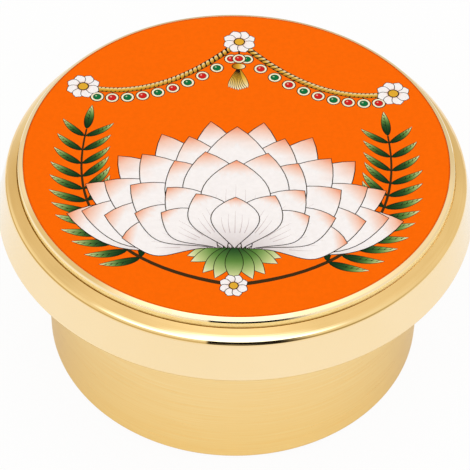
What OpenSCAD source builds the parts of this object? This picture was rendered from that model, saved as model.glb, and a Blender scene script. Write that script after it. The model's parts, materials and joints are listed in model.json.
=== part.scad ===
// Round metal incense box with a lift-off lid and a picture panel in the lid's top.
// Millimetres, +Z up. The origin is on the axis, on the surface that the box stands on.

/* [Base] */
// Outer diameter of the base
base_d = 65; // [50:0.5:110]
// Height of the base wall
base_wall_h = 35.5; // [20:0.5:70]
// Thickness of the base wall
base_wall_t = 1.2; // [0.8:0.1:3]
// Round of the base wall's lower outer edge
base_edge_r = 0.6; // [0.2:0.1:2]
// Round of the two edges of the base's mouth
mouth_edge_r = 0.4; // [0.1:0.1:1]
// Height of the floor above the base wall's lower edge
floor_rise = 2; // [1:0.1:5]
// Thickness of the floor
floor_t = 1.2; // [0.8:0.1:3]
// How far the foot pad stands out below the base wall
pad_proud = 0.4; // [0.2:0.1:1.5]
// Round of the foot pad's lower edge
pad_edge_r = 0.5; // [0.1:0.1:1]
// Thickness of the felt on the floor
floor_lining_t = 1; // [0.5:0.1:3]

/* [Lid] */
// How far the lid stands out beyond the base wall
lid_overhang = 7.5; // [5:0.5:15]
// Thickness of the lid's plate and side
lid_t = 1.2; // [0.8:0.1:2]
// How far the lid's side hangs below its plate
skirt_drop = 6.3; // [3:0.1:9]
// Round of the two lower edges of the lid's side
skirt_edge_r = 0.5; // [0.1:0.1:1]
// How far the lid's side leans in towards its top, in degrees
side_lean = 14.5; // [0:0.5:20]
// Round of the corner between the lid's side and its rim
corner_r = 0.9; // [0.3:0.1:3]
// Round of the rim between the corner and the picture
rim_r = 9; // [5:0.5:20]
// How far the rim falls away at the picture, in degrees
rim_fall = 35; // [5:1:40]
// How far the rim falls away at the corner, in degrees
rim_end_fall = 52; // [45:1:70]
// Depth of the seat for the picture below the rim
seat_depth = 1.1; // [0.5:0.1:2]
// Thickness of the felt under the lid
lid_lining_t = 1; // [0.5:0.1:3]

/* [Picture] */
// Width of the bezel ring, without its foot
bezel_w = 0.9; // [0.6:0.1:3]
// How far the bezel ring stands above the picture
bezel_lip = 0.05; // [0:0.05:1]
// How far the bezel ring's top falls away, in degrees
bezel_fall = 28; // [0:1:35]
// Width of the chamfer at the bezel ring's upper outer edge
bezel_chamfer_w = 0.22; // [0.05:0.01:0.4]
// Height of the chamfer at the bezel ring's upper outer edge
bezel_chamfer_h = 0.3; // [0.05:0.01:0.4]
// Width of the groove between the bezel ring and the rim
groove_w = 0.2; // [0.1:0.05:1]
// Depth of the groove, down to the bezel ring's foot
groove_depth = 0.3; // [0.1:0.05:1]
// Thickness of the backing plate
backing_t = 0.8; // [0.4:0.1:2]
// Thickness of the adhesive pad
adhesive_t = 0.2; // [0.1:0.05:0.5]
// How far the adhesive pad stays inside the picture's edge
adhesive_inset = 0.5; // [0.2:0.1:3]
// Thickness of the picture disc
picture_t = 1.5; // [0.8:0.1:3]
// Round of the picture disc's upper edge
picture_edge_r = 0.1; // [0.05:0.05:0.4]

/* [Collar and seal] */
// Thickness of the collar under the lid
collar_t = 2; // [1.6:0.1:4]
// Depth to which the collar goes into the base
collar_h = 6.5; // [5:0.1:12]
// Lead-in chamfer at the collar's lower edge
collar_lead = 0.6; // [0.2:0.1:1]
// Depth of the seal's groove in the collar
seal_groove_depth = 1; // [0.6:0.1:1.2]
// Height of the seal ring
seal_h = 2; // [1.8:0.1:3]
// Radius of the seal ring's two ribs
rib_r = 0.4; // [0.2:0.05:0.45]

/* [Clearances] */
// Gap between the mouth of the base and the lid's plate
mouth_gap = 0.1; // [0.05:0.05:0.5]
// Gap between the collar and the base wall, on the radius
collar_gap = 0.4; // [0.2:0.05:1]
// Gap between the seal's ribs and the base wall, on the radius
seal_gap = 0.1; // [0.05:0.01:0.15]
// Gap round the seal ring in its groove
seal_play = 0.08; // [0.05:0.01:0.15]
// Gap round a felt or foam disc, on the radius
soft_gap = 0.25; // [0.1:0.05:1]
// Gap between the picture, its plate, the bezel ring and its seat, on the radius
picture_gap = 0.03; // [0.02:0.01:0.2]

/* [Hidden] */
$fn = 128;
arc_steps = 10;
// Largest share of a wall that one rounded edge takes
edge_share = 0.45;
outer_edge_share = 0.8;
// Least share of the seat's depth that the bezel ring's foot fills
foot_share = 0.3;

brass = [0.93, 0.78, 0.48];
polished_brass = [0.96, 0.84, 0.58];
felt = [0.42, 0.10, 0.11];
foam = [0.16, 0.14, 0.13];
silicone = [0.88, 0.86, 0.80];
aluminium = [0.78, 0.79, 0.80];
adhesive = [0.95, 0.93, 0.85];
picture = [0.99, 0.42, 0.01];

// Heights, from the table up
wall_z = pad_proud;
floor_z = wall_z + floor_rise;
floor_top_z = floor_z + floor_t;
mouth_z = wall_z + base_wall_h;
plate_z = mouth_z + mouth_gap;
seat_z = plate_z + lid_t;
rim_z = seat_z + seat_depth;
skirt_z = plate_z - skirt_drop;
collar_z = plate_z - collar_h;
seal_z = plate_z - collar_h / 2;
adhesive_z = seat_z + backing_t;
picture_z = adhesive_z + adhesive_t;
picture_top_z = picture_z + picture_t;
bezel_top_z = picture_top_z + bezel_lip;
bezel_foot_z = max(seat_z + foot_share * seat_depth, rim_z - groove_depth);
bezel_slope_h = (bezel_w - bezel_chamfer_w) * tan(bezel_fall);
bezel_edge_z = max(bezel_foot_z + 2 * bezel_chamfer_h, bezel_top_z - bezel_slope_h);

// Rounded edges, each kept within its wall
base_edge = min(base_edge_r, outer_edge_share * base_wall_t);
mouth_edge = min(mouth_edge_r, edge_share * base_wall_t);
skirt_edge = min(skirt_edge_r, edge_share * lid_t);

// Radii of the base
base_r = base_d / 2;
bore_r = base_r - base_wall_t;
soft_r = bore_r - soft_gap;

// The lid's side is a cone, widest just above its lower edge.
// The corner is an arc that touches the side, and the rim is a larger arc that touches the corner.
lid_r = base_r + lid_overhang;
side_z = skirt_z + skirt_edge;
rim_start = 90 - rim_end_fall;
rim_end = 90 - rim_fall;
rim_centre_z = rim_z - rim_r * sin(rim_end);
corner_z = rim_centre_z + (rim_r - corner_r) * sin(rim_start);
corner_cr = lid_r - (corner_z - side_z) * tan(side_lean) - corner_r / cos(side_lean);
rim_centre_r = corner_cr - (rim_r - corner_r) * cos(rim_start);
inner_r = lid_r - lid_t / cos(side_lean);
inner_top_r = inner_r - (plate_z - side_z) * tan(side_lean);

// Radii of the picture and what holds it
seat_r = rim_centre_r + rim_r * cos(rim_end);
bezel_r = seat_r - groove_w;
bezel_bore_r = bezel_r - bezel_w;
bezel_foot_r = seat_r - picture_gap;
picture_r = bezel_bore_r - picture_gap;
adhesive_r = picture_r - adhesive_inset;

// Radii of the collar and the seal
collar_r = bore_r - collar_gap;
collar_bore_r = collar_r - collar_t;
groove_r = collar_r - seal_groove_depth;
groove_h = seal_h + 2 * seal_play;
seal_bore_r = groove_r + seal_play;
seal_body_r = bore_r - seal_gap - rib_r;
lid_lining_r = collar_bore_r - soft_gap;

// Points along an arc about a centre, from one angle to another
function arc(centre, r, from, to) = [
    for (i = [0 : arc_steps])
        let (a = from + (to - from) * i / arc_steps)
        centre + r * [cos(a), sin(a)]
];

// A disc that lies flat at a height
module disc(r, z, t) {
    translate([0, 0, z]) cylinder(r = r, h = t);
}

// A ring turned from a section of radii and heights
module turned(section) {
    rotate_extrude() polygon(section);
}

module base_wall() {
    lower_edge = arc([base_r - base_edge, wall_z + base_edge], base_edge, -90, 0);
    outer_mouth = arc([base_r - mouth_edge, mouth_z - mouth_edge], mouth_edge, 0, 90);
    inner_mouth = arc([bore_r + mouth_edge, mouth_z - mouth_edge], mouth_edge, 90, 180);
    color(brass)
        turned(concat([[bore_r, wall_z]], lower_edge, outer_mouth, inner_mouth));
}

module base_floor() {
    color(brass) disc(bore_r, floor_z, floor_t);
}

module base_pad() {
    lower_edge = arc([soft_r - pad_edge_r, pad_edge_r], pad_edge_r, -90, 0);
    color(foam)
        turned(concat([[0, floor_z], [0, 0]], lower_edge, [[soft_r, floor_z]]));
}

module floor_lining() {
    color(felt) disc(soft_r, floor_top_z, floor_lining_t);
}

// A flat band with two round ribs that meet the base wall
module seal_ring() {
    color(silicone)
        rotate_extrude() {
            translate([seal_bore_r, seal_z - seal_h / 2])
                square([seal_body_r - seal_bore_r, seal_h]);
            for (side = [-1, 1])
                translate([seal_body_r, seal_z + side * seal_h / 4]) circle(r = rib_r);
        }
}

module lid_cap() {
    underside = [[0, plate_z], [inner_top_r, plate_z]];
    inner_edge = arc([inner_r + skirt_edge, side_z], skirt_edge, 180, 270);
    outer_edge = arc([lid_r - skirt_edge, side_z], skirt_edge, 270, 360);
    corner = arc([corner_cr, corner_z], corner_r, side_lean, rim_start);
    rim = arc([rim_centre_r, rim_centre_z], rim_r, rim_start, rim_end);
    seat = [[seat_r, seat_z], [0, seat_z]];
    color(polished_brass)
        turned(concat(underside, inner_edge, outer_edge, corner, rim, seat));
}

module lid_collar() {
    groove_low = seal_z - groove_h / 2;
    groove_high = seal_z + groove_h / 2;
    color(brass)
        turned([
            [collar_bore_r, plate_z], [collar_bore_r, collar_z],
            [collar_r - collar_lead, collar_z], [collar_r, collar_z + collar_lead],
            [collar_r, groove_low], [groove_r, groove_low],
            [groove_r, groove_high], [collar_r, groove_high],
            [collar_r, plate_z]
        ]);
}

module lid_lining() {
    color(felt) disc(lid_lining_r, plate_z - lid_lining_t, lid_lining_t);
}

// The ring's foot fills the seat, and its top slopes to a chamfer
module bezel_ring() {
    foot = [[bezel_bore_r, seat_z], [bezel_foot_r, seat_z], [bezel_foot_r, bezel_foot_z]];
    side = [[bezel_r, bezel_foot_z], [bezel_r, bezel_edge_z - bezel_chamfer_h]];
    top = [[bezel_r - bezel_chamfer_w, bezel_edge_z], [bezel_bore_r, bezel_top_z]];
    color(polished_brass) turned(concat(foot, side, top));
}

module backing_plate() {
    color(aluminium) disc(picture_r, seat_z, backing_t);
}

module adhesive_pad() {
    color(adhesive) disc(adhesive_r, adhesive_z, adhesive_t);
}

module picture_disc() {
    centre = [picture_r - picture_edge_r, picture_top_z - picture_edge_r];
    upper_edge = arc(centre, picture_edge_r, 0, 90);
    color(picture)
        turned(concat([[0, picture_z], [picture_r, picture_z]], upper_edge, [[0, picture_top_z]]));
}

base_wall();
base_floor();
base_pad();
floor_lining();
seal_ring();
lid_cap();
lid_collar();
lid_lining();
bezel_ring();
backing_plate();
adhesive_pad();
picture_disc();
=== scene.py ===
import cmath
import json
import math

import bpy
from mathutils import Matrix, Vector
from mathutils.geometry import delaunay_2d_cdt


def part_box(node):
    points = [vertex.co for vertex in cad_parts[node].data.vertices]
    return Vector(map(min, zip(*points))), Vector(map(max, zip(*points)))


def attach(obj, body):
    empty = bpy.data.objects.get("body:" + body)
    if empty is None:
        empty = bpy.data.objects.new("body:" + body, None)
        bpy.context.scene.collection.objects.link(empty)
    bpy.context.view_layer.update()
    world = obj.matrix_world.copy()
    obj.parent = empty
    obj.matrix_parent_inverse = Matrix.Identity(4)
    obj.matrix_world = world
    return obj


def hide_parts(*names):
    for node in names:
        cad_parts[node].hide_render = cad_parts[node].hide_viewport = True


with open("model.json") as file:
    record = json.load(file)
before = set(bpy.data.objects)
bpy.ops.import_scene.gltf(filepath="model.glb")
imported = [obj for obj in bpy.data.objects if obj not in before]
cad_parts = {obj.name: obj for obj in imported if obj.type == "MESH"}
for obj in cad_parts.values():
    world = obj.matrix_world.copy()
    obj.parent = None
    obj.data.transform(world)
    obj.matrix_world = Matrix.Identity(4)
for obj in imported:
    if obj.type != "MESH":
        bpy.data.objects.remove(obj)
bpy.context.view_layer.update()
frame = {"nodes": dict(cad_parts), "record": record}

MM = 0.001

# How finely a turned piece is made, and how much its sharp edges are rounded
SEGMENTS = 288
ARC_STEPS = 10
EDGE_BREAK = 0.08 * MM

# The length from which a stretch of an outline is held flat, and how near its ends that begins
SHORTEST_FLAT = 0.2 * MM
SUPPORT = 0.12 * MM
SUPPORT_SHARE = 1 / 8


# Sizes from the frame

def extent(node):
    """A turned node's largest radius, lowest height and highest height."""
    low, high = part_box(node)
    return high.x, low.z, high.z


base_r, wall_z, mouth_z = extent("base_wall")
floor_disc = extent("base_floor")
bore_r = floor_disc[0]
pad_disc = extent("base_pad")
floor_felt_disc = extent("floor_lining")
seal_r, seal_z, seal_top_z = extent("seal_ring")
lid_r, skirt_z, rim_z = extent("lid_cap")
collar_r, collar_z, plate_z = extent("lid_collar")
lid_felt_disc = extent("lid_lining")
bezel_foot_r, seat_z, bezel_top_z = extent("bezel_ring")
picture_r, picture_z, picture_top_z = extent("picture_disc")

# Sizes that the frame's boxes don't show, with angles in degrees

BASE_EDGE_R = 0.6 * MM
MOUTH_EDGE_R = 0.4 * MM
PAD_EDGE_R = 0.5 * MM
LID_T = 1.2 * MM
SKIRT_EDGE_R = 0.5 * MM
SIDE_LEAN = 14.5
CORNER_R = 0.9 * MM
RIM_R = 9.0 * MM
RIM_START = 38
RIM_END = 55
BEZEL_W = 0.9 * MM
BEZEL_FALL = 28
BEZEL_CHAMFER_W = 0.245 * MM
BEZEL_CHAMFER_H = 0.292 * MM
BEZEL_EDGE_R = 0.04 * MM
LID_EDGE_R = 0.03 * MM
GROOVE_W = 0.2 * MM
GROOVE_DEPTH = 0.3 * MM
PICTURE_GAP = 0.03 * MM
COLLAR_T = 2.0 * MM
COLLAR_LEAD = 0.6 * MM
SEAL_GROOVE_DEPTH = 1.0 * MM
SEAL_PLAY = 0.08 * MM
RIB_R = 0.4 * MM
PICTURE_EDGE_R = 0.1 * MM
FELT_EDGE_R = 0.3 * MM


# Turned pieces

def arc(centre, r, start, end):
    """Points along an arc about a (radius, height) centre, from one angle to another in degrees."""
    angles = [math.radians(start + (end - start) * i / ARC_STEPS) for i in range(ARC_STEPS + 1)]
    return [Vector(centre) + r * Vector((math.cos(a), math.sin(a))) for a in angles]


def curve(a, b, c, steps):
    """Points of a quadratic curve from a to c, drawn towards b."""
    shares = [i / steps for i in range(steps + 1)]
    return [(1 - t) ** 2 * a + 2 * t * (1 - t) * b + t**2 * c for t in shares]


def without_repeats(outline):
    """A closed outline with no two neighbouring points in one place."""
    apart = 1e-7
    return [p for i, p in enumerate(outline) if (p - outline[i - 1]).length > apart]


def with_broken_edges(outline, r):
    """A closed outline whose sharp corners are rounded a little."""
    sharp = math.radians(25)
    share = 0.45
    steps = 4
    count = len(outline)
    rounded = []
    for i, here in enumerate(outline):
        back = outline[i - 1] - here
        ahead = outline[(i + 1) % count] - here
        turning = math.pi - back.angle(ahead)
        if turning < sharp or here.x == 0:
            rounded.append(here)
            continue
        cut = min(r * math.tan(turning / 2), share * back.length, share * ahead.length)
        start = here + back.normalized() * cut
        end = here + ahead.normalized() * cut
        rounded += curve(start, here, end, steps)
    return rounded


def with_support(outline):
    """A closed outline with extra points near the ends of its straight stretches."""
    supported = []
    for i, here in enumerate(outline):
        supported.append(here)
        way = outline[(i + 1) % len(outline)] - here
        if way.length > SHORTEST_FLAT:
            step = way.normalized() * min(SUPPORT, way.length * SUPPORT_SHARE)
            supported.append(here + step)
            supported.append(here + way - step)
    return supported


def ring_of_points(r, z):
    angles = [2 * math.pi * k / SEGMENTS for k in range(SEGMENTS)]
    return [(r * math.cos(a), r * math.sin(a), z) for a in angles]


def turned_mesh(name, outline, edge=EDGE_BREAK):
    """A mesh turned about the axis from a closed outline of (radius, height) points.

    The outline has the solid on its left.
    """
    points = without_repeats([Vector(p) for p in outline])
    points = with_support(with_broken_edges(points, edge))
    vertices = []
    rings = []
    for r, z in points:
        first = len(vertices)
        if r == 0:
            vertices.append((0, 0, z))
            rings.append([first] * SEGMENTS)
            continue
        vertices += ring_of_points(r, z)
        rings.append(list(range(first, first + SEGMENTS)))
    faces = []
    for i, ring in enumerate(rings):
        upper = rings[(i + 1) % len(rings)]
        if points[i].x == 0 and points[(i + 1) % len(points)].x == 0:
            continue
        for k in range(SEGMENTS):
            n = (k + 1) % SEGMENTS
            corners = [ring[k], ring[n], upper[n], upper[k]]
            faces.append(list(dict.fromkeys(corners)))
    mesh = bpy.data.meshes.new(name)
    mesh.from_pydata(vertices, [], faces)
    mesh.shade_smooth()
    return mesh


def show(mesh, node, material):
    """Puts a mesh in the place of a CAD node, on the node's own body and in its material slot."""
    record = frame["record"]
    piece = bpy.data.objects.new(mesh.name, mesh)
    bpy.context.scene.collection.objects.link(piece)
    mesh.materials.append(material)
    body = next(b for b, nodes in record["behaviour"]["bodies"].items() if node in nodes)
    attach(piece, body)
    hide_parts(node)
    return piece


def paint_part(piece, material, where):
    """Gives a material to a piece's faces whose (radius, height) middle passes a test."""
    mesh = piece.data
    mesh.materials.append(material)
    for polygon in mesh.polygons:
        middle = polygon.center
        if where(middle.xy.length, middle.z):
            polygon.material_index = len(mesh.materials) - 1


# Shader nodes

NOISE = "ShaderNodeTexNoise"
CELLS = "ShaderNodeTexVoronoi"

# The numbers of the Mix node's sockets for colours
MIX_A = 6
MIX_B = 7
MIX_RESULT = 2


def put(tree, socket, value):
    """Gives a socket a number, a colour, or what another socket gives."""
    if isinstance(value, (int, float)):
        socket.default_value = value
    elif isinstance(value, tuple):
        socket.default_value = (*value, 1)
    else:
        tree.links.new(value, socket)


def put_all(tree, node, **values):
    """Gives values to a node's sockets by their names, with _ for a space."""
    for key, value in values.items():
        put(tree, node.inputs[key.replace("_", " ")], value)


def number(tree, operation, *values):
    """A Math node's result. Each value is a number or a socket."""
    made = tree.nodes.new("ShaderNodeMath")
    made.operation = operation
    for socket, value in zip(made.inputs, values):
        put(tree, socket, value)
    return made.outputs[0]


def parts(tree, vector):
    """A vector's X, Y and Z."""
    split = tree.nodes.new("ShaderNodeSeparateXYZ")
    put_all(tree, split, Vector=vector)
    return split.outputs


def place_in(tree, axis):
    """The place along an axis of the piece's own coordinates, in metres."""
    place = tree.nodes.new("ShaderNodeTexCoord")
    return parts(tree, place.outputs["Object"])[axis]


def texture(tree, kind, repeats, **values):
    """A texture in the piece's own coordinates, with repeats per metre along X, Y and Z."""
    place = tree.nodes.new("ShaderNodeTexCoord")
    size = tree.nodes.new("ShaderNodeMapping")
    size.inputs["Scale"].default_value = repeats
    made = tree.nodes.new(kind)
    put_all(tree, size, Vector=place.outputs["Object"])
    put_all(tree, made, Vector=size.outputs["Vector"], Scale=1, **values)
    return made.outputs[0]


def between(tree, source, low, high, start=0.3, end=0.7):
    """A number that goes from low to high while the source goes from start to end."""
    made = tree.nodes.new("ShaderNodeMapRange")
    put_all(tree, made, Value=source, From_Min=start, From_Max=end, To_Min=low, To_Max=high)
    return made.outputs["Result"]


def soft_step(tree, source, middle, soft):
    """A number that goes smoothly from 0 to 1 about a middle."""
    made = tree.nodes.new("ShaderNodeMapRange")
    made.interpolation_type = "SMOOTHSTEP"
    put_all(tree, made, Value=source, From_Min=middle - soft, From_Max=middle + soft)
    return made.outputs["Result"]


def mixed(tree, share, a, b, way="MIX"):
    """A colour that goes from a to b with a share. Each of the three may be a socket."""
    made = tree.nodes.new("ShaderNodeMix")
    made.data_type = "RGBA"
    made.blend_type = way
    put_all(tree, made, Factor=share)
    put(tree, made.inputs[MIX_A], a)
    put(tree, made.inputs[MIX_B], b)
    return made.outputs[MIX_RESULT]


def mixed_shader(tree, share, a, b):
    """A shader that goes from a to b with a share. All three are sockets."""
    made = tree.nodes.new("ShaderNodeMixShader")
    for socket, source in zip(made.inputs, (share, a, b)):
        tree.links.new(source, socket)
    return made.outputs["Shader"]


def ray_share(tree, shares):
    """A number that is the given share for each named kind of ray, and 0 for others."""
    path = tree.nodes.new("ShaderNodeLightPath")
    total = 0
    for kind, share in shares:
        total = number(tree, "MULTIPLY_ADD", path.outputs[kind], share, total)
    return total


def bumped(tree, shader, source, depth, strength=1.0):
    """Raises the shader's surface with the source, by up to a depth in metres."""
    made = tree.nodes.new("ShaderNodeBump")
    put_all(tree, made, Height=source, Distance=depth, Strength=strength)
    put_all(tree, shader, Normal=made.outputs["Normal"])


def run_round(tree, shader):
    """Makes the brushing of a metal run round the axis."""
    around = tree.nodes.new("ShaderNodeTangent")
    around.direction_type = "RADIAL"
    around.axis = "Z"
    put_all(tree, shader, Tangent=around.outputs["Tangent"])


def new_material(name, **values):
    """A material, its node tree and its shader, with some of the shader's values set."""
    material = bpy.data.materials.new(name)
    material.use_nodes = True
    tree = material.node_tree
    shader = tree.nodes["Principled BSDF"]
    put_all(tree, shader, **values)
    return material, tree, shader


def linear(colour):
    """A colour of 0 to 255 sRGB values as the shader takes it, by the sRGB curve."""
    scaled = [c / 255 for c in colour]
    return tuple(c / 12.92 if c <= 0.04045 else ((c + 0.055) / 1.055) ** 2.4 for c in scaled)


# Materials

# The name of the printed panel's colours, which its mesh holds
INKS = "inks"


def polished_brass():
    material, tree, shader = new_material(
        "polished_brass", Metallic=1, Coat_Weight=1, Coat_Roughness=0.02
    )
    cloud = texture(tree, NOISE, (60, 60, 60), Detail=3)
    dark, light = (0.98, 0.76, 0.425), (0.995, 0.785, 0.46)
    colour = mixed(tree, between(tree, cloud, 0, 1), dark, light)
    lines = texture(tree, NOISE, (30, 30, 2500), Detail=4)
    put_all(tree, shader, Base_Color=colour, Roughness=between(tree, lines, 0.03, 0.05))
    return material


def turned_brass():
    """The lid's rim: brass with fine lines from the lathe, darker and deeper in colour than the
    polished brass as painted shade.
    """
    material, tree, shader = new_material("turned_brass", Metallic=1, Anisotropic=0.3)
    lines = texture(tree, NOISE, (30, 30, 3600), Detail=5, Roughness=0.6)
    dark, light, dull = (0.95, 0.65, 0.27), (0.99, 0.71, 0.32), (0.84, 0.56, 0.21)
    bright = mixed(tree, between(tree, lines, 0, 1), dark, light)
    cloud = texture(tree, NOISE, (110, 110, 700), Detail=3)
    colour = mixed(tree, between(tree, cloud, 0, 0.5), bright, dull)
    put_all(tree, shader, Base_Color=colour, Roughness=between(tree, lines, 0.03, 0.05))
    run_round(tree, shader)
    bumped(tree, shader, lines, depth=0.004 * MM, strength=0.3)
    return material


def shade_film(name, dark_z, light_z, lit_span=()):
    """Painted shade: a brown colour, darkest at the lower of two heights, fading upwards to matt
    brass.

    Its last argument is two places to the right, between which it turns to a lighter brass as
    painted light.
    """
    material, tree, shader = new_material(name, Roughness=0.5, Specular_IOR_Level=0.1)
    cloud = texture(tree, NOISE, (400, 400, 400), Detail=3)
    spots = between(tree, cloud, 0, 1)
    shade_dark = mixed(tree, spots, (0.46, 0.22, 0.012), (0.60, 0.32, 0.025))
    shade_light = mixed(tree, spots, (0.97, 0.68, 0.25), (1.0, 0.76, 0.31))
    rise = between(tree, place_in(tree, "Z"), 0, 1, dark_z, light_z)
    colour = mixed(tree, rise, shade_dark, shade_light)
    # Painted light: on the right side the colour turns to a lighter brass
    if lit_span:
        lit_share = between(tree, place_in(tree, "X"), 0, 1, *lit_span)
        lit_colour = (1.0, 0.78, 0.36)
        colour = mixed(tree, lit_share, colour, lit_colour)
    put_all(tree, shader, Base_Color=colour)
    return material


def brushed_brass():
    """Brass with lines of brushing round the axis, with painted shade towards the foot, where its
    colour is a little deeper and darker.
    """
    material, tree, shader = new_material(
        "brushed_brass", Metallic=1, Anisotropic=0.5, Specular_Tint=(0.78, 0.76, 0.74)
    )
    lines = texture(tree, NOISE, (60, 60, 4200), Detail=6, Roughness=0.65)
    streak = between(tree, lines, 0, 1)
    foot_shade = mixed(tree, streak, (0.965, 0.635, 0.21), (1.0, 0.735, 0.30))
    pale = mixed(tree, streak, (0.965, 0.67, 0.27), (1.0, 0.77, 0.385))
    foot_shade_z = 0.06 * base_r
    shade_end_z = 0.6 * base_r
    # Painted shade: the colour deepens and darkens towards the foot
    rise = between(tree, place_in(tree, "Z"), 0, 1, foot_shade_z, shade_end_z)
    colour = mixed(tree, rise, foot_shade, pale)
    put_all(tree, shader, Base_Color=colour, Roughness=between(tree, lines, 0.26, 0.4))
    run_round(tree, shader)
    bumped(tree, shader, lines, depth=0.01 * MM, strength=0.4)
    return material


def felt():
    material, tree, shader = new_material(
        "felt", Roughness=0.95, Sheen_Weight=0.4, Specular_IOR_Level=0.1
    )
    fibres = texture(tree, NOISE, (2600, 2600, 2600), Detail=8, Roughness=0.7)
    dark, light = linear((92, 16, 22)), linear((140, 34, 36))
    put_all(tree, shader, Base_Color=mixed(tree, between(tree, fibres, 0, 1), dark, light))
    bumped(tree, shader, fibres, depth=0.25 * MM)
    return material


def foam():
    material, tree, shader = new_material("foam", Roughness=0.85, Specular_IOR_Level=0.25)
    cells = texture(tree, CELLS, (3200, 3200, 3200))
    dark, light = linear((26, 23, 22)), linear((48, 44, 42))
    colour = mixed(tree, between(tree, cells, 0, 1, start=0, end=0.6), dark, light)
    put_all(tree, shader, Base_Color=colour)
    bumped(tree, shader, cells, depth=0.08 * MM)
    return material


def silicone():
    material, tree, shader = new_material(
        "silicone", Roughness=0.42, Subsurface_Weight=0.2, Subsurface_Scale=0.5 * MM
    )
    cloud = texture(tree, NOISE, (300, 300, 300), Detail=3)
    dark, light = linear((222, 218, 204)), linear((232, 229, 218))
    put_all(tree, shader, Base_Color=mixed(tree, between(tree, cloud, 0, 1), dark, light))
    return material


def aluminium():
    material, tree, shader = new_material("aluminium", Metallic=1)
    grain = texture(tree, NOISE, (3000, 60, 60), Detail=5)
    dark, light = (0.72, 0.73, 0.74), (0.82, 0.82, 0.83)
    colour = mixed(tree, between(tree, grain, 0, 1), dark, light)
    put_all(tree, shader, Base_Color=colour, Roughness=between(tree, grain, 0.28, 0.42))
    return material


def adhesive():
    material, tree, shader = new_material("adhesive", Roughness=0.7)
    cloud = texture(tree, NOISE, (900, 900, 900), Detail=4)
    dark, light = linear((238, 232, 208)), linear((246, 241, 222))
    put_all(tree, shader, Base_Color=mixed(tree, between(tree, cloud, 0, 1), dark, light))
    return material


def print_material():
    """The printed panel: its inks come from the mesh's own colours, with a faint unevenness."""
    material, tree, shader = new_material("print", Roughness=0.5, Specular_IOR_Level=0.02)
    inks = tree.nodes.new("ShaderNodeVertexColor")
    inks.layer_name = INKS
    grain = texture(tree, NOISE, (1400, 1400, 1400), Detail=4)
    dark, light = (0.95, 0.95, 0.95), (1.0, 1.0, 1.0)
    shades = mixed(tree, between(tree, grain, 0, 1), dark, light)
    put_all(tree, shader, Base_Color=mixed(tree, 1, inks.outputs["Color"], shades, "MULTIPLY"))
    bumped(tree, shader, grain, depth=0.004 * MM)
    return material


# The picture: shapes in millimetres, as complex numbers, in painting order

ORANGE = (252, 106, 3)
# A little darker than the orange: painted shade round the ground's edge, by the bezel
ORANGE_EDGE = (236, 96, 2)
WHITE = (248, 244, 245)
PETAL_SHADE = (214, 205, 207)
BLUSH = (243, 140, 92)
VEIN = (196, 180, 182)
INK = (34, 22, 16)
LEAF_DARK = (16, 52, 26)
LEAF_MID = (92, 134, 62)
LEAF_LIGHT = (196, 208, 142)
CREAM = (248, 238, 208)
STEM = (64, 46, 22)
GOLD = (226, 172, 52)
GOLD_SHADE = (160, 104, 22)
RED = (206, 34, 34)
GREEN = (18, 112, 62)

# Colours along a shape, as [(share of the way, colour)]
GOLD_STOPS = [(0, GOLD_SHADE), (0.5, GOLD), (1, CREAM)]
SEPAL_STOPS = [(0, LEAF_DARK), (0.45, LEAF_MID), (0.8, LEAF_LIGHT), (1, CREAM)]
LEAF_STOPS = [(0, LEAF_DARK), (0.3, LEAF_DARK), (0.6, LEAF_MID), (0.85, LEAF_LIGHT), (1, CREAM)]
ROSETTE_STOPS = [(0, BLUSH), (0.45, WHITE), (1, WHITE)]

# Widths of lines
LINE = 0.16
THIN_LINE = 0.12
HAIR_LINE = 0.1
VEIN_W = 0.13
LEAF_RIB_W = 0.14
STEM_W = 0.75
ROPE_W = 1.25
BEAD_LOOP_W = 0.2
TASSEL_LOOP_W = 0.3
GROUND_EDGE_W = 0.15

FIELD_R = (picture_r - PICTURE_EDGE_R) / MM

shapes = []


def turn(degrees):
    """A step of length 1 in a direction."""
    return cmath.rect(1, math.radians(degrees))


def blend(a, b, t):
    return tuple(x + (y - x) * t for x, y in zip(a, b))


def flat(colour):
    """One colour all over."""
    return lambda point: colour


def fade(start, end, stops):
    """Colours that change from one point to another."""
    way = end - start

    def paint(point):
        t = ((point - start) * way.conjugate()).real / abs(way) ** 2
        if t <= stops[0][0]:
            return stops[0][1]
        for (t0, c0), (t1, c1) in zip(stops, stops[1:]):
            if t <= t1:
                return blend(c0, c1, (t - t0) / (t1 - t0))
        return stops[-1][1]

    return paint


def inset(outline, depth):
    """A closed outline, drawn anticlockwise, moved inwards."""
    moved = []
    for i, point in enumerate(outline):
        along = outline[(i + 1) % len(outline)] - outline[i - 1]
        moved.append(point + 1j * along / abs(along) * depth)
    return moved


def circle(centre, r, steps):
    return [centre + r * turn(360 * i / steps) for i in range(steps)]


def oval(centre, wide, high, steps):
    """An ellipse of half sizes wide and high."""
    return [centre + complex(p.real * wide, p.imag * high) for p in circle(0, 1, steps)]


def ribbon(path, width, end=1.0):
    """A line along a path, whose width goes to a share of itself at the end."""
    left, right = [], []
    last = len(path) - 1
    for i, point in enumerate(path):
        along = path[min(i + 1, last)] - path[max(i - 1, 0)]
        half = width / 2 * (1 + (end - 1) * i / last)
        side = 1j * along / abs(along) * half
        left.append(point + side)
        right.append(point - side)
    return right + left[::-1]


def on_path(path, t):
    """The point at a share t of a path's points, and the heading there in degrees."""
    place = t * (len(path) - 1)
    i = min(int(place), len(path) - 2)
    way = path[i + 1] - path[i]
    return path[i] + way * (place - i), math.degrees(cmath.phase(way))


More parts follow.
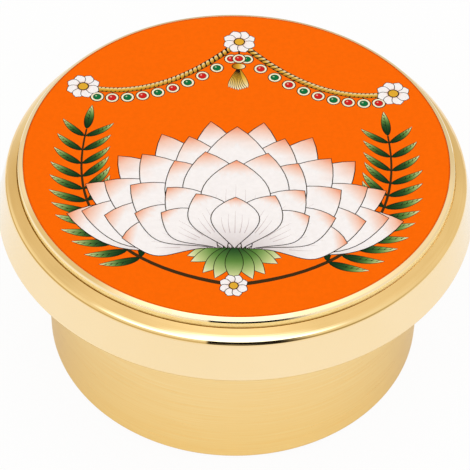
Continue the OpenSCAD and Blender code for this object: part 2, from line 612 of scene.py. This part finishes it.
class Blade:
    """A pointed leaf or petal, whose axis bends evenly by some degrees on its way to the tip."""

    def __init__(self, base, heading, length, width, bend=0.0, peak=1.0, fullness=0.9, steps=16):
        self.width = width
        self.peak = peak
        self.fullness = fullness
        self.steps = steps
        self.headings = [turn(heading + bend * (i / steps - 0.5)) for i in range(steps + 1)]
        self.axis = [base]
        for step in self.headings[:-1]:
            self.axis.append(self.axis[-1] + step * length / steps)

    def at(self, t, across):
        """The point at a share t of the length, and at a share of the half width to the left."""
        half_width = self.width / 2 * math.sin(math.pi * t**self.peak) ** self.fullness
        i = min(int(t * self.steps), self.steps - 1)
        point = self.axis[i] + (self.axis[i + 1] - self.axis[i]) * (t * self.steps - i)
        return point + 1j * self.headings[i] * half_width * across

    def outline(self):
        shares = [i / self.steps for i in range(1, self.steps)]
        right = [self.at(t, -1) for t in shares]
        left = [self.at(t, 1) for t in reversed(shares)]
        return [self.axis[0], *right, self.axis[-1], *left]

    def fade(self, stops):
        return fade(self.axis[0], self.axis[-1], stops)


def draw(outline, paint):
    shapes.append((outline, paint))


def draw_inked(outline, paint, line=LINE):
    """A shape with a dark line round it."""
    draw(outline, flat(INK))
    draw(inset(outline, line), paint)


def draw_ground():
    # A thin ring of darker orange round the ground: painted shade where it meets the bezel
    draw(circle(0, FIELD_R, SEGMENTS), flat(ORANGE_EDGE))
    draw(circle(0, FIELD_R - GROUND_EDGE_W, SEGMENTS // 2), flat(ORANGE))


def sides_of(lean):
    """Both sides for a blade that leans, and one for an upright blade."""
    return (-1, 1) if lean else (1,)


def draw_petal(base, heading, length, width, bend, shade):
    """A white lotus petal with fine veins and a blush at its tip."""
    petal = Blade(base, heading, length, width, bend, peak=1.25, fullness=0.85)
    pale_tip = blend(WHITE, BLUSH, 0.45)
    stops = [(0, PETAL_SHADE), (shade, WHITE), (0.84, WHITE), (0.94, pale_tip), (1, BLUSH)]
    draw_inked(petal.outline(), petal.fade(stops))
    vein_start = 0.3
    middle_vein_end = 0.72
    loss_to_side = 0.22
    steps = 8
    for across in (-0.55, -0.28, 0.0, 0.28, 0.55):
        length_share = middle_vein_end - loss_to_side * abs(across) - vein_start
        path = [petal.at(vein_start + length_share * i / steps, across) for i in range(steps + 1)]
        draw(ribbon(path, VEIN_W, end=0.2), flat(VEIN))


# Each row of petals, from the back: leans from upright, length, width, bend, end of the shade
LOTUS_ROWS = [
    ((8, 24, 41, 58, 74), 30.0, 10.0, 8, 0.75),
    ((16, 34, 53, 71), 27.5, 10.5, 14, 0.65),
    ((0,), 28.0, 12.5, 0, 0.6),
    ((25, 48, 70), 23.0, 10.5, 22, 0.6),
    ((12,), 23.0, 11.0, 8, 0.55),
    ((36, 62, 84), 18.0, 8.5, 30, 0.55),
    ((0,), 20.0, 11.5, 0, 0.5),
    ((24, 52), 14.0, 7.5, 30, 0.5),
    ((0,), 11.5, 8.0, 0, 0.5),
]

# The lean at which a petal would have no length left, the lean at which it has all its row's bend,
# and how far its foot stands out for each degree of lean
NO_LENGTH_LEAN = 400
FULL_BEND_LEAN = 60
FOOT_STEP = 0.05


def draw_lotus(base):
    """A wide open lotus seen from the side."""
    for leans, length, width, row_bend, shade in LOTUS_ROWS:
        for lean in reversed(leans):
            reach = length * (1 - lean / NO_LENGTH_LEAN)
            for side in sides_of(lean):
                foot = base + side * lean * FOOT_STEP
                bend = -side * row_bend * lean / FULL_BEND_LEAN
                draw_petal(foot, 90 - side * lean, reach, width, bend, shade)


def draw_sepals(base):
    """The green leaves under the lotus."""
    for lean in (70, 60, 38, 22, 0):
        for side in sides_of(lean):
            sepal = Blade(base, -90 + side * lean, length=8.0, width=3.0)
            draw_inked(sepal.outline(), sepal.fade(SEPAL_STOPS), THIN_LINE)


def draw_leaf(base, heading, length, width, bend):
    """A narrow leaf, dark at its stalk and cream at its tip, with dark ticks along one side."""
    leaf = Blade(base, heading, length, width, bend, peak=0.8, fullness=0.8, steps=12)
    draw_inked(leaf.outline(), leaf.fade(LEAF_STOPS), HAIR_LINE)
    tick_rise = 0.08
    tick_reach = 0.75
    for t in (0.42, 0.55, 0.68, 0.81):
        tick = [leaf.at(t, 0), leaf.at(t + tick_rise, tick_reach)]
        draw(ribbon(tick, LINE, end=0.3), flat(INK))
    rib = [leaf.at(t, 0) for t in (0.1, 0.5, 0.85)]
    draw(ribbon(rib, LEAF_RIB_W, end=0.3), flat(LEAF_DARK))


def draw_sprig(side):
    """A bent stem with leaves in pairs, to one side of the lotus."""
    foot = complex(side * 1.0, -28.5)
    knee = complex(side * 28.5, -23.5)
    tip = complex(side * 25.2, 5.5)
    stem = curve(foot, knee, tip, steps=24)
    draw(ribbon(stem, STEM_W, end=0.4), flat(STEM))
    pairs = 12
    first_pair = 0.3
    leafy_share = 0.67
    spread = 48
    leaf_bend = 26
    for i in range(pairs):
        t = first_pair + leafy_share * i / (pairs - 1)
        point, heading = on_path(stem, t)
        size = 1 - 0.5 * abs(t - 0.5)
        length = 7.6 * size
        width = 1.75 * size
        for across in (-1, 1):
            draw_leaf(point, heading + across * spread, length, width, -across * leaf_bend)
    end, heading = on_path(stem, 1)
    draw_leaf(end, heading, length=6.0, width=1.6, bend=0)


def draw_bead(centre, colour):
    """A round bead with a cream ring and a glint."""
    discs = [(1.22, 22, INK), (1.06, 22, CREAM), (0.74, 18, INK), (0.66, 18, colour)]
    for r, steps, ink in discs:
        draw(circle(centre, r, steps), flat(ink))
    glint_place = centre + complex(-0.2, 0.22)
    glint_colour = blend(colour, CREAM, 0.7)
    draw(circle(glint_place, r=0.16, steps=10), flat(glint_colour))


def draw_rope(path):
    """A twisted rope: slanting gold strands with dark gaps."""
    draw(ribbon(path, ROPE_W), flat(INK))
    length = sum(abs(b - a) for a, b in zip(path, path[1:]))
    strand_step = 0.85
    strand_w = 0.34
    count = round(length / strand_step)
    half = ROPE_W / 2
    strand_half = half - HAIR_LINE
    slant = [(-1.55, -1), (-0.15, -1), (1.0, -0.2), (1.55, 1), (0.15, 1), (-1.0, 0.2)]
    for n in range(count):
        centre, heading = on_path(path, (n + 0.5) / count)
        along = turn(heading)
        strand = [centre + along * complex(strand_w * a, strand_half * b) for a, b in slant]
        side = 1j * along * half
        draw(strand, fade(centre - side, centre + side, GOLD_STOPS))


def draw_rosette(centre, r):
    """A small round flower, which holds up the rope or ties the stems."""
    petals = 8
    petal_w = r * 0.72
    heart_r = r * 0.34
    gold_r = r * 0.27
    for i in range(petals):
        heading = (i + 0.5) * 360 / petals
        petal = Blade(centre, heading, r, petal_w, peak=1.5, fullness=0.7, steps=8)
        draw_inked(petal.outline(), petal.fade(ROSETTE_STOPS), THIN_LINE)
    draw(circle(centre, heart_r, steps=18), flat(INK))
    draw(circle(centre, gold_r, steps=18), flat(GOLD))


def draw_swag(a, b, sag):
    """A rope that hangs from a to b, which lies to the right of a, with a row of beads below it."""
    steps = 40
    shares = [i / steps for i in range(steps + 1)]
    path = [a + (b - a) * t - 4j * sag * t * (1 - t) for t in shares]
    beads = 10
    end_gap = 1.2
    loop = 1.4
    drop = 1.95
    for n in range(beads):
        point, heading = on_path(path, (n + end_gap) / (beads - 1 + 2 * end_gap))
        down = turn(heading - 90)
        draw(ribbon([point, point + down * loop], BEAD_LOOP_W), flat(INK))
        draw_bead(point + down * drop, RED if n % 2 else GREEN)
    draw_rope(path)


def draw_tassel(top):
    """A bead, a cap and a fan of threads, under the middle rosette."""
    bead = top - 3.4j
    cap = top - 5.4j
    draw(ribbon([top, cap], TASSEL_LOOP_W), flat(INK))
    draw_bead(bead, RED)
    spread = 4.25
    for i in range(-4, 5):
        heading = -90 + spread * i
        length = 6.2 - 0.12 * abs(i)
        thread = Blade(cap, heading, length, width=0.95, peak=1.8, fullness=0.5, steps=8)
        draw_inked(thread.outline(), thread.fade(GOLD_STOPS), HAIR_LINE)
    cap_shape = oval(cap, wide=1.25, high=0.85, steps=24)
    draw_inked(cap_shape, fade(cap - 1, cap + 1, GOLD_STOPS))


def draw_picture():
    draw_ground()
    for side in (-1, 1):
        draw_sprig(side)
    draw_sepals(base=-20j)
    draw_lotus(base=-21j)
    left, middle, right = -26.5 + 16j, 28.4j, 26.5 + 16j
    draw_swag(left, middle, sag=5.0)
    draw_swag(middle, right, sag=5.0)
    draw_tassel(top=middle - 1j)
    for centre in (left, middle, right):
        draw_rosette(centre, r=3.0)
    draw_rosette(centre=-28.8j, r=2.4)


def cut_picture():
    """The picture, cut along all its lines.

    Gives the points, the faces, the shapes' corners at each point and the shapes on each face.
    """
    draw_picture()
    corners = [Vector((p.real, p.imag)) for outline, _ in shapes for p in outline]
    loops = []
    first = 0
    for outline, _ in shapes:
        loops.append(list(range(first, first + len(outline))))
        first += len(outline)
    only_inside = 1
    apart = 1e-5
    cut = delaunay_2d_cdt(corners, [], loops, only_inside, apart)
    points, _, faces, corners_at, _, shapes_on = cut
    return points, faces, corners_at, shapes_on


def picture_mesh(name):
    """The panel: a turned edge, and a flat top cut along every line of the picture."""
    points, faces, corners_at, shapes_on = cut_picture()

    # The ground was drawn first, so its corners are the first ones
    rim = {corner: i for i, found in enumerate(corners_at) for corner in found if corner < SEGMENTS}
    vertices = [(p.x * MM, p.y * MM, picture_top_z) for p in points]
    rings = [[rim[k] for k in range(SEGMENTS)]]
    edge_centre = (picture_r - PICTURE_EDGE_R, picture_top_z - PICTURE_EDGE_R)
    edge = arc(edge_centre, PICTURE_EDGE_R, 90, 0)
    for r, z in [*edge[1:], (picture_r, picture_z)]:
        first = len(vertices)
        vertices += ring_of_points(r, z)
        rings.append(list(range(first, first + SEGMENTS)))
    sides = []
    for upper, lower in zip(rings, rings[1:]):
        for k in range(SEGMENTS):
            n = (k + 1) % SEGMENTS
            sides.append([upper[k], lower[k], lower[n], upper[n]])
    underside = rings[-1][::-1]

    mesh = bpy.data.meshes.new(name)
    mesh.from_pydata(vertices, [], [*faces, *sides, underside])
    for polygon in mesh.polygons:
        polygon.use_smooth = len(faces) <= polygon.index < len(faces) + len(sides)
    paints = [shapes[max(found)][1] for found in shapes_on]
    paints += [flat(ORANGE_EDGE)] * (len(sides) + 1)
    inks = mesh.color_attributes.new(INKS, "FLOAT_COLOR", "CORNER")
    for polygon, paint in zip(mesh.polygons, paints):
        for corner in polygon.loop_indices:
            x, y, _ = mesh.vertices[mesh.loops[corner].vertex_index].co / MM
            inks.data[corner].color = (*linear(paint(complex(x, y))), 1)
    return mesh


# Outlines of the turned pieces, as (radius, height) points

def wall_outline():
    return [
        (bore_r, wall_z),
        *arc((base_r - BASE_EDGE_R, wall_z + BASE_EDGE_R), BASE_EDGE_R, -90, 0),
        *arc((base_r - MOUTH_EDGE_R, mouth_z - MOUTH_EDGE_R), MOUTH_EDGE_R, 0, 90),
        *arc((bore_r + MOUTH_EDGE_R, mouth_z - MOUTH_EDGE_R), MOUTH_EDGE_R, 90, 180),
    ]


def disc_outline(r, low, high):
    return [(0, low), (r, low), (r, high), (0, high)]


def lid_arcs():
    """The centres of the arcs of the lid's corner and rim."""
    lean = math.radians(SIDE_LEAN)
    start = math.radians(RIM_START)
    rim_centre_z = rim_z - RIM_R * math.sin(math.radians(RIM_END))
    corner_z = rim_centre_z + (RIM_R - CORNER_R) * math.sin(start)
    side_z = skirt_z + SKIRT_EDGE_R
    corner_r = lid_r - (corner_z - side_z) * math.tan(lean) - CORNER_R / math.cos(lean)
    rim_centre_r = corner_r - (RIM_R - CORNER_R) * math.cos(start)
    return Vector((corner_r, corner_z)), Vector((rim_centre_r, rim_centre_z))


def lid_outline():
    lean = math.radians(SIDE_LEAN)
    side_z = skirt_z + SKIRT_EDGE_R
    corner, rim = lid_arcs()
    inner_r = lid_r - LID_T / math.cos(lean)
    inner_top_r = inner_r - (plate_z - side_z) * math.tan(lean)
    seat_r = rim.x + RIM_R * math.cos(math.radians(RIM_END))
    return [
        (0, plate_z),
        (inner_top_r, plate_z),
        *arc((inner_r + SKIRT_EDGE_R, side_z), SKIRT_EDGE_R, 180, 270),
        *arc((lid_r - SKIRT_EDGE_R, side_z), SKIRT_EDGE_R, 270, 360),
        *arc(corner, CORNER_R, SIDE_LEAN, RIM_START),
        *arc(rim, RIM_R, RIM_START, RIM_END),
        (seat_r, seat_z),
        (0, seat_z),
    ]


def collar_outline():
    low = seal_z - SEAL_PLAY
    high = seal_top_z + SEAL_PLAY
    groove_r = collar_r - SEAL_GROOVE_DEPTH
    return [
        (collar_r - COLLAR_T, plate_z),
        (collar_r - COLLAR_T, collar_z),
        (collar_r - COLLAR_LEAD, collar_z),
        (collar_r, collar_z + COLLAR_LEAD),
        (collar_r, low),
        (groove_r, low),
        (groove_r, high),
        (collar_r, high),
        (collar_r, plate_z),
    ]


def seal_outline():
    inner_r = collar_r - SEAL_GROOVE_DEPTH + SEAL_PLAY
    band_r = seal_r - RIB_R
    height = seal_top_z - seal_z
    return [
        (inner_r, seal_z),
        (band_r, seal_z),
        *arc((band_r, seal_z + height / 4), RIB_R, -90, 90),
        *arc((band_r, seal_z + height * 3 / 4), RIB_R, -90, 90),
        (band_r, seal_top_z),
        (inner_r, seal_top_z),
    ]


def bezel_outline():
    side_r = bezel_foot_r + PICTURE_GAP - GROOVE_W
    inner_r = side_r - BEZEL_W
    foot_z = rim_z - GROOVE_DEPTH
    edge_r = side_r - BEZEL_CHAMFER_W
    edge_z = bezel_top_z - (edge_r - inner_r) * math.tan(math.radians(BEZEL_FALL))
    return [
        (inner_r, seat_z),
        (bezel_foot_r, seat_z),
        (bezel_foot_r, foot_z),
        (side_r, foot_z),
        (side_r, edge_z - BEZEL_CHAMFER_H),
        (edge_r, edge_z),
        (inner_r, bezel_top_z),
    ]


# The pieces

# How much of the lid's lower edge has painted shade, and where the groove's painted shade gives way
# to painted light on the right
SHADE_SHARE = 0.8
LIT_START = 0.45
LIT_END = 0.8

shade_top_z = skirt_z + SHADE_SHARE * SKIRT_EDGE_R
groove_lit_span = (LIT_START * bezel_foot_r, LIT_END * bezel_foot_r)
groove_outer_r = bezel_foot_r + 2 * PICTURE_GAP
groove_top_z = rim_z - LID_EDGE_R
rim_low_z = lid_arcs()[0].y + CORNER_R * math.sin(math.radians(RIM_START))

brushed = brushed_brass()
polished = polished_brass()
# Painted shade in the groove round the bezel, darkest at its foot, with painted light on its right
# side
groove_shade = shade_film("groove_shade", rim_z - GROOVE_DEPTH / 2, rim_z + GROOVE_DEPTH, groove_lit_span)
# Painted shade along the lid's lower edge, darkest at the bottom
edge_shade = shade_film("edge_shade", skirt_z + SKIRT_EDGE_R / 4, skirt_z + SKIRT_EDGE_R)
felt_cloth = felt()

show(turned_mesh("wall_tube", wall_outline()), "base_wall", brushed)
show(turned_mesh("floor_plate", disc_outline(*floor_disc)), "base_floor", brushed)
show(turned_mesh("foot_pad", disc_outline(*pad_disc), PAD_EDGE_R), "base_pad", foam())
floor_felt = turned_mesh("floor_felt", disc_outline(*floor_felt_disc), FELT_EDGE_R)
show(floor_felt, "floor_lining", felt_cloth)
show(turned_mesh("seal_band", seal_outline()), "seal_ring", silicone())
lid = show(turned_mesh("lid_shell", lid_outline(), LID_EDGE_R), "lid_cap", polished)
paint_part(lid, turned_brass(), lambda r, z: z > rim_low_z)
# Painted shade on the lid's lower edge
paint_part(lid, edge_shade, lambda r, z: z < shade_top_z)
# Painted shade on the lid's side of the groove
paint_part(lid, groove_shade, lambda r, z: r < groove_outer_r and seat_z < z < groove_top_z)
show(turned_mesh("collar_ring", collar_outline()), "lid_collar", brushed)
lid_felt = turned_mesh("lid_felt", disc_outline(*lid_felt_disc), FELT_EDGE_R)
show(lid_felt, "lid_lining", felt_cloth)
bezel = show(turned_mesh("bezel_band", bezel_outline(), BEZEL_EDGE_R), "bezel_ring", polished)
# Painted shade on the bezel's outer wall, low in the groove, fading to matt brass above
paint_part(bezel, groove_shade, lambda r, z: r > bezel_foot_r - GROOVE_W)
show(picture_mesh("picture_panel"), "picture_disc", print_material())

for node, material in (("backing_plate", aluminium()), ("adhesive_pad", adhesive())):
    hidden = frame["nodes"][node].data
    hidden.materials.clear()
    hidden.materials.append(material)


# Floor, light and room, in metres and watts

FLOOR_REACH = 0.6
FLOOR_BACK = 0.11
FLOOR_Z = -0.1 * MM
FLOOR_COLOUR = (0.9, 0.9, 0.9)

# How much of the floor is plain white to each kind of ray
FLOOR_GLOW = (("Is Camera Ray", 0.93), ("Is Glossy Ray", 0.55), ("Is Transmission Ray", 0.6))

LIGHT_PLACE = Vector((0, -0.15, 0.9))
LIGHT_AIM = Vector((0, 0, 0.04))
LIGHT_SIZE = 0.5
LIGHT_POWER = 0.2

ROOM_WHITE = (0.83, 0.81, 0.77)
ROOM_BACK_LEFT = (0.75, 0.68, 0.54)
ROOM_BACK_RIGHT = (0.84, 0.81, 0.72)

# The middle and softness of the change from front to back, and of the back's from left to right
BACK_STEP = (0.1, 0.4)
SIDE_STEP = (0.0, 0.7)

# How steeply the way to the front rises, and how much lower a patch lies for each degree of bearing
FRONT_RISE = 49
TILT_DRIFT = 0.022

# Tilts and bearings in degrees, each as low, its softness, high, its softness, and then the light.
# A later patch lies over an earlier one
ROOM_PATCHES = [
    # The bezel's top mirrors these
    ((57, 2, 75, 4), (-95, 25, 90, 25), (0.96, 0.91, 0.80)),
    ((57, 2, 75, 4), (-34, 20, 38, 22), (1.46, 1.40, 1.32)),
    ((57, 2, 75, 4), (-74, 7, -36, 9), (0.79, 0.67, 0.43)),
    # The rim and the bezel mirror these at the sides and the back
    ((34, 4, 60, 4), (-170, 15, -102, 12), (0.88, 0.91, 0.91)),
    ((34, 4, 76, 4), (90, 10, 160, 18), (0.74, 0.68, 0.52)),
    ((55, 4, 76, 4), (-200, 1, -148, 18), (0.58, 0.49, 0.32)),
    ((55, 4, 76, 4), (148, 18, 200, 1), (0.58, 0.49, 0.32)),
    # The rim mirrors these at the front
    ((40, 2, 57, 3), (-60, 25, 60, 25), (0.92, 0.89, 0.84)),
    ((44, 2, 57, 3), (-16, 14, 16, 14), (1.14, 1.14, 1.14)),
    ((40, 2, 57, 3), (-57, 7, -43, 7), (0.80, 0.76, 0.68)),
    # The rim's lower part and the bezel's chamfer mirror these
    ((39.8, 0.4, 42.2, 0.9), (-85, 15, -36, 8), (1.0, 1.02, 1.03)),
    ((40, 0.7, 44, 2), (-38, 12, 48, 15), (0.96, 1.0, 1.05)),
    ((41.3, 0.35, 43.6, 1.2), (-33, 7, 25, 8), (2.0, 2.6, 4.0)),
    ((41.5, 0.35, 46.5, 2), (-13, 9, 14, 9), (2.0, 2.6, 4.0)),
    # The lid's corner mirrors this
    ((20, 4, 38.4, 0.4), (-100, 20, 90, 20), (0.95, 0.92, 0.86)),
    # The rim's lower edge mirrors these, and the chamfer the last of them
    ((38.4, 0.3, 39.4, 0.4), (-85, 15, -4, 3), (0.66, 0.60, 0.44)),
    ((38.4, 0.3, 39.4, 0.4), (10, 6, 48, 18), (0.50, 0.46, 0.34)),
    ((38.2, 0.3, 41.3, 0.3), (-6.3, 0.5, 17, 5.5), (0.01, 0.01, 0.01)),
]


def make_floor():
    """A white floor that keeps a faint shadow."""
    mesh = bpy.data.meshes.new("floor")
    front = [(-FLOOR_REACH, -FLOOR_REACH, FLOOR_Z), (FLOOR_REACH, -FLOOR_REACH, FLOOR_Z)]
    back = [(FLOOR_REACH, FLOOR_BACK, FLOOR_Z), (-FLOOR_REACH, FLOOR_BACK, FLOOR_Z)]
    mesh.from_pydata(front + back, [], [(0, 1, 2, 3)])
    floor = bpy.data.objects.new("floor", mesh)
    bpy.context.scene.collection.objects.link(floor)
    material, tree, shader = new_material("floor_white")
    tree.nodes.remove(shader)
    matt = tree.nodes.new("ShaderNodeBsdfDiffuse")
    put_all(tree, matt, Color=FLOOR_COLOUR)
    glow = tree.nodes.new("ShaderNodeEmission")
    share = ray_share(tree, FLOOR_GLOW)
    surface = mixed_shader(tree, share, matt.outputs["BSDF"], glow.outputs["Emission"])
    put_all(tree, tree.nodes["Material Output"], Surface=surface)
    mesh.materials.append(material)


def make_light():
    """A square soft light overhead."""
    data = bpy.data.lights.new("overhead_light", "AREA")
    data.size = LIGHT_SIZE
    data.energy = LIGHT_POWER
    lamp = bpy.data.objects.new("overhead_light", data)
    bpy.context.scene.collection.objects.link(lamp)
    lamp.location = LIGHT_PLACE
    lamp.rotation_euler = (LIGHT_AIM - LIGHT_PLACE).to_track_quat("-Z", "Y").to_euler()


def window(tree, angle, ends):
    """1 where an angle is between two ends, and 0 beyond.

    ends is low, its softness, high, its softness.
    """
    low, low_soft, high, high_soft = ends
    rise = soft_step(tree, angle, low, low_soft)
    fall = soft_step(tree, angle, high, high_soft)
    return number(tree, "SUBTRACT", rise, fall)


def mirror_angles(tree, place):
    """The tilt and bearing, in degrees, of a surface that mirrors a place in the room to the front.

    Its normal lies half way between the way to the place and the way to the front. The tilt has the
    drift added to it.
    """
    rise = math.radians(FRONT_RISE)
    halfway = tree.nodes.new("ShaderNodeVectorMath")
    halfway.operation = "ADD"
    halfway.inputs[1].default_value = (0, -math.cos(rise), math.sin(rise))
    normal = tree.nodes.new("ShaderNodeVectorMath")
    normal.operation = "NORMALIZE"
    tree.links.new(place, halfway.inputs[0])
    tree.links.new(halfway.outputs["Vector"], normal.inputs[0])
    across, back, up = parts(tree, normal.outputs["Vector"])
    front = number(tree, "MULTIPLY", back, -1.0)
    bearing = number(tree, "DEGREES", number(tree, "ARCTAN2", across, front))
    drift = number(tree, "MULTIPLY", number(tree, "ABSOLUTE", bearing), TILT_DRIFT)
    tilt = number(tree, "ADD", number(tree, "DEGREES", number(tree, "ARCSINE", up)), drift)
    return tilt, bearing


def make_room():
    """A pale room, dimmer at the back, with patches of other light. The camera sees white."""
    world = bpy.data.worlds.new("room")
    bpy.context.scene.world = world
    world.use_nodes = True
    tree = world.node_tree
    place = tree.nodes.new("ShaderNodeTexCoord").outputs["Generated"]
    to_right, to_back, _ = parts(tree, place)
    sides = mixed(tree, soft_step(tree, to_right, *SIDE_STEP), ROOM_BACK_LEFT, ROOM_BACK_RIGHT)
    colour = mixed(tree, soft_step(tree, to_back, *BACK_STEP), ROOM_WHITE, sides)
    tilt, bearing = mirror_angles(tree, place)
    for tilts, bearings, light in ROOM_PATCHES:
        in_tilt = window(tree, tilt, tilts)
        in_bearing = window(tree, bearing, bearings)
        colour = mixed(tree, number(tree, "MULTIPLY", in_tilt, in_bearing), colour, light)

    room = tree.nodes["Background"]
    put_all(tree, room, Color=colour)
    seen = tree.nodes.new("ShaderNodeBackground")
    put_all(tree, seen, Color=(1, 1, 1))
    share = ray_share(tree, (("Is Camera Ray", 1.0),))
    surface = mixed_shader(tree, share, room.outputs["Background"], seen.outputs["Background"])
    put_all(tree, tree.nodes["World Output"], Surface=surface)


make_floor()
make_room()
make_light()


# Camera, at the photograph's angle

LENS_PIXELS = 2000
FRAME_PIXELS = 470
SENSOR = 36
CLIP_START = 0.01
ELEVATION = 45.75
ROLL = 1.34
DISTANCE = 338.1 * MM
RIGHT_PIXELS = 0.7
UP_PIXELS = 37.2


def make_camera():
    """Aims at the middle of the skirt's lower edge, then turns to move the picture by pixels."""
    data = bpy.data.cameras.new("camera")
    data.sensor_width = SENSOR
    data.lens = LENS_PIXELS / FRAME_PIXELS * SENSOR
    data.clip_start = CLIP_START
    camera = bpy.data.objects.new("camera", data)
    bpy.context.scene.collection.objects.link(camera)
    rise = math.radians(ELEVATION)
    aim = Vector((0, 0, skirt_z))
    place = aim + DISTANCE * Vector((0, -math.cos(rise), math.sin(rise)))
    turns = (
        (math.radians(90) - rise, "X"),
        (math.radians(ROLL), "Z"),
        (-math.atan(UP_PIXELS / LENS_PIXELS), "X"),
        (math.atan(RIGHT_PIXELS / LENS_PIXELS), "Y"),
    )
    matrix = Matrix.Translation(place)
    for angle, axis in turns:
        matrix = matrix @ Matrix.Rotation(angle, 4, axis)
    camera.matrix_world = matrix
    bpy.context.scene.camera = camera


make_camera()
bpy.context.scene.view_settings.view_transform = "Standard"
